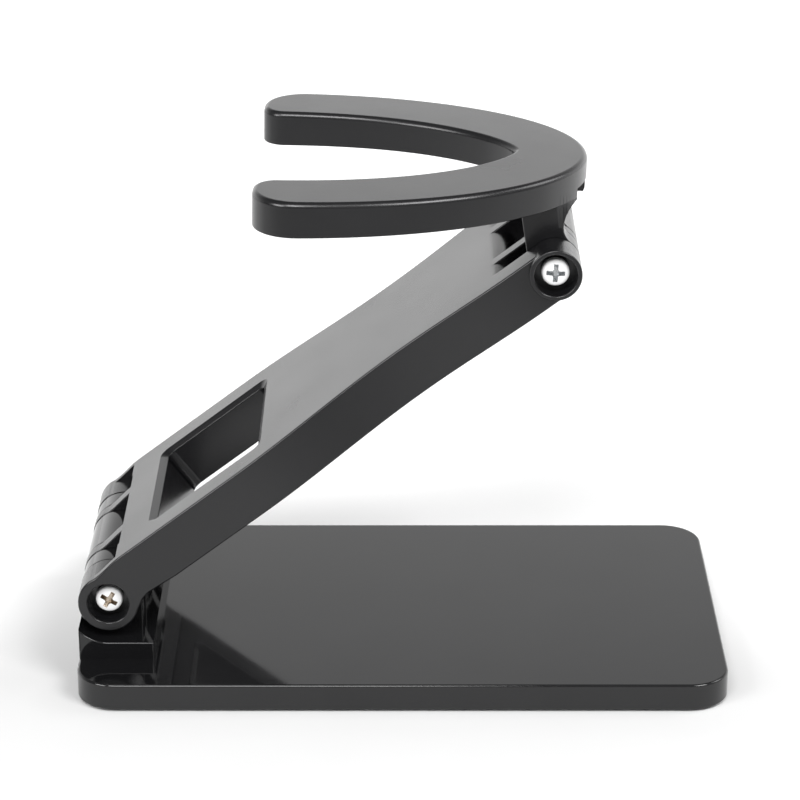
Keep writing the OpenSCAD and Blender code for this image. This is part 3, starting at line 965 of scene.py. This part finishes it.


# Studio -------------------------------------------------------------------------------------


# Where, in metres along Y, the paper has painted shade in front, painted light that brightens it from beside
# the object backwards, and a painted glow behind
FLOOR_PAINTED_SHADE = (-0.26, -0.08)
FLOOR_PAINTED_LIGHT = (-0.03, 0.04)
FLOOR_PAINTED_GLOW = (-0.02, 0.6)
FLOOR_HALF = 2500  # millimetres
# The room's light: how it falls with height behind the object, where that begins, and its light in front
SKY_HEIGHT = (0.02, 0.8)
SKY_LIGHT = (1.75, 0.12)
SKY_BEHIND = (-0.1, 0.6)
FRONT_LIGHT = (0.22, 0.5)
# Where the lights aim, and where the camera stands, in metres
AIM = Vector((0, 0, 0.05))
CAMERA_PLACE = (-0.0005, -0.5226, 0.2586)
CAMERA_TILT = 67.98


def make_world():
    """A pale room: brightest low down behind the object, dark overhead, dim in front."""
    world = bpy.data.worlds.new("studio")
    bpy.context.scene.world = world
    world.use_nodes = True
    nodes = world.node_tree.nodes
    links = world.node_tree.links
    where = nodes.new("ShaderNodeTexCoord")
    split = nodes.new("ShaderNodeSeparateXYZ")
    links.new(where.outputs["Generated"], split.inputs["Vector"])
    fade = ramp_node(world, split.outputs["Z"], SKY_HEIGHT, SKY_LIGHT)
    behind = ramp_node(world, split.outputs["Y"], SKY_BEHIND, (0, 1))
    front = ramp_node(world, split.outputs["X"], (-1, 1), FRONT_LIGHT)
    mix = nodes.new("ShaderNodeMix")
    links.new(behind, mix.inputs["Factor"])
    links.new(front, mix.inputs["A"])
    links.new(fade, mix.inputs["B"])
    links.new(mix.outputs["Result"], nodes["Background"].inputs["Strength"])
    nodes["Background"].inputs["Color"].default_value = (1, 1, 1, 1)


def ramp_node(owner, source, given, made):
    """source, from given's first to its second, smoothly mapped to made's."""
    ramp = owner.node_tree.nodes.new("ShaderNodeMapRange")
    ramp.interpolation_type = "SMOOTHSTEP"
    ramp.inputs["From Min"].default_value, ramp.inputs["From Max"].default_value = given
    ramp.inputs["To Min"].default_value, ramp.inputs["To Max"].default_value = made
    owner.node_tree.links.new(source, ramp.inputs["Value"])
    return ramp.outputs["Result"]


def make_floor():
    """White paper with painted shade that darkens it towards the front, and a painted glow from its own
    emission towards the back.
    """
    bm = bmesh.new()
    bmesh.ops.create_grid(bm, x_segments=1, y_segments=1, size=FLOOR_HALF)
    floor = new_piece("floor", bm)
    material, shader = base_material("floor_paper_painted_light")
    nodes, links = links_of(material)
    place = nodes.new("ShaderNodeNewGeometry")
    split = nodes.new("ShaderNodeSeparateXYZ")
    links.new(place.outputs["Position"], split.inputs["Vector"])
    # Painted shade and painted light: the paper's colour is darker towards the front and brighter from beside
    # the object backwards.
    front = ramp_node(material, split.outputs["Y"], FLOOR_PAINTED_SHADE, (0.5, 1))
    painted_light_ramp = ramp_node(material, split.outputs["Y"], FLOOR_PAINTED_LIGHT, (0.63, 0.9))
    near = nodes.new("ShaderNodeMath")
    near.operation = "MULTIPLY"
    links.new(front, near.inputs[0])
    links.new(painted_light_ramp, near.inputs[1])
    paper = noise(material, scale=30)
    light = nodes.new("ShaderNodeMix")
    light.data_type = "RGBA"
    links.new(near.outputs["Value"], light.inputs["Factor"])
    light.inputs["A"].default_value = (0.02, 0.02, 0.02, 1)
    links.new(blend_colours(material, paper, (0.98, 0.98, 0.98), (1, 1, 1)), light.inputs["B"])
    links.new(light.outputs["Result"], shader.inputs["Base Color"])
    # Painted light: the paper glows towards the back, though it is no lamp.
    painted_glow = ramp_node(material, split.outputs["Y"], FLOOR_PAINTED_GLOW, (0, 0.55))
    links.new(painted_glow, shader.inputs["Emission Strength"])
    shader.inputs["Emission Color"].default_value = (1, 1, 1, 1)
    shader.inputs["Roughness"].default_value = 0.8
    shader.inputs["Specular IOR Level"].default_value = 0.2
    floor.data.materials.append(material)


def softbox(name, azimuth, elevation, distance, size, power):
    """A square light, aimed at the object: azimuth is from the front towards +X."""
    a, e = math.radians(azimuth), math.radians(elevation)
    towards = Vector((math.sin(a) * math.cos(e), -math.cos(a) * math.cos(e), math.sin(e)))
    light = bpy.data.lights.new(name, "AREA")
    light.size = size
    light.energy = power
    lamp = bpy.data.objects.new(name, light)
    lamp.location = towards * distance + AIM
    lamp.rotation_euler = towards.to_track_quat("Z", "Y").to_euler()
    bpy.context.scene.collection.objects.link(lamp)


def make_camera():
    camera = bpy.data.objects.new("camera", bpy.data.cameras.new("camera"))
    camera.data.lens = 135
    camera.data.sensor_width = 36
    camera.data.clip_start = 0.01
    camera.location = CAMERA_PLACE
    camera.rotation_euler = (math.radians(CAMERA_TILT), 0, 0)
    bpy.context.scene.collection.objects.link(camera)
    bpy.context.scene.camera = camera


def make_studio():
    bpy.context.scene.view_settings.view_transform = "Standard"
    make_world()
    make_floor()
    softbox("key_left", -14, 46, 1.2, 0.5, 9)
    softbox("key_right", 45, 44, 1.2, 0.5, 9)
    softbox("side_right", 100, 36, 1.2, 0.5, 3.5)
    softbox("side_left", -50, 28, 1.2, 0.5, 7)
    make_camera()


def main():
    gloss = moulded_plastic("gloss_plastic", (0.005, 0.005, 0.0055), (0.007, 0.007, 0.0075),
                            (0.05, 0.09), 0.0000003, 0.000001)
    satin = moulded_plastic("satin_plastic", (0.005, 0.005, 0.0056), (0.007, 0.007, 0.0078),
                            (0.22, 0.28), 0.000003, 0.000002)
    dull = moulded_plastic("cover_plastic", (0.012, 0.012, 0.0125), (0.016, 0.016, 0.0165),
                           (0.42, 0.52), 0.000008, 0.000002)
    make_base(gloss)
    make_base_cover(dull)
    make_feet(rubber("foot_rubber"))
    make_arm(satin)
    make_arm_cover(dull)
    make_holder(satin)
    make_holder_covers(dull)
    make_hardware()
    make_studio()


main()
